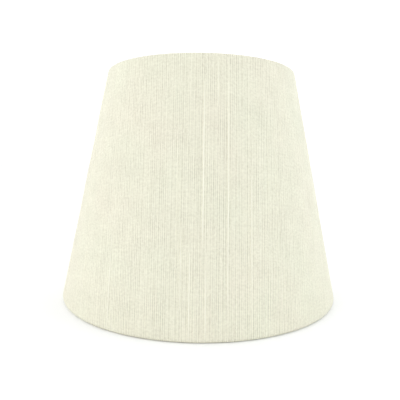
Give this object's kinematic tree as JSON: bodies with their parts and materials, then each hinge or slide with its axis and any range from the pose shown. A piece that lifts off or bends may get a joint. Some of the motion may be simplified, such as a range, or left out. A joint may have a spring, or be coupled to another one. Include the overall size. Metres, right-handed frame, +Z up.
{
  "type": "lamp shade",
  "caption": "Tapered round table-lamp shade in slubbed ivory cloth on a stiff backing, with a reversible tilting gimbal fitter and a reducer ring.",
  "frame": {"origin": "centre of the base rim, in the plane that the shade stands on", "axes": "+Z up from the wide base to the narrow top, +X along the gimbal's pivot axis, +Y towards the lapped joint at the back"},
  "size_m": [0.2, 0.2005, 0.16],
  "materials": {
    "slub_cloth": "ivory slubbed faux silk, matt with a slight sheen",
    "backing_plastic": "white stiff sheet, satin",
    "tape": "translucent adhesive tape",
    "ring_wire": "bright zinc-plated wire",
    "enamelled_steel": "white powder coat, semi-gloss",
    "plated_steel": "zinc-plated",
    "nylon": "natural nylon",
    "reducer_plastic": "white moulded plastic"
  },
  "bodies": {
    "shade": {"cover_fabric": "slub_cloth", "backing_panel": "backing_plastic", "seam_tape": "tape", "top_ring": "ring_wire", "bottom_ring": "ring_wire", "pivot_lug_left": "enamelled_steel", "pivot_lug_right": "enamelled_steel", "pivot_rivet_left": "plated_steel", "pivot_rivet_right": "plated_steel", "friction_washer_left": "nylon", "friction_washer_right": "nylon"},
    "gimbal": {"gimbal_arm_left": "enamelled_steel", "gimbal_arm_right": "enamelled_steel", "fitter_ring": "enamelled_steel"},
    "reducer": {"reducer_ring": "reducer_plastic"}
  },
  "joints": [
    {"name": "gimbal_tilt", "type": "hinge", "parent": "shade", "child": "gimbal", "pos_m": [0, 0, 0.14892], "axis": [1, 0, 0], "continuous": true},
    {"name": "reducer_lift", "type": "slide", "parent": "gimbal", "child": "reducer", "axis": [0, 0, 1], "range_m": [0, 0.05]}
  ]
}
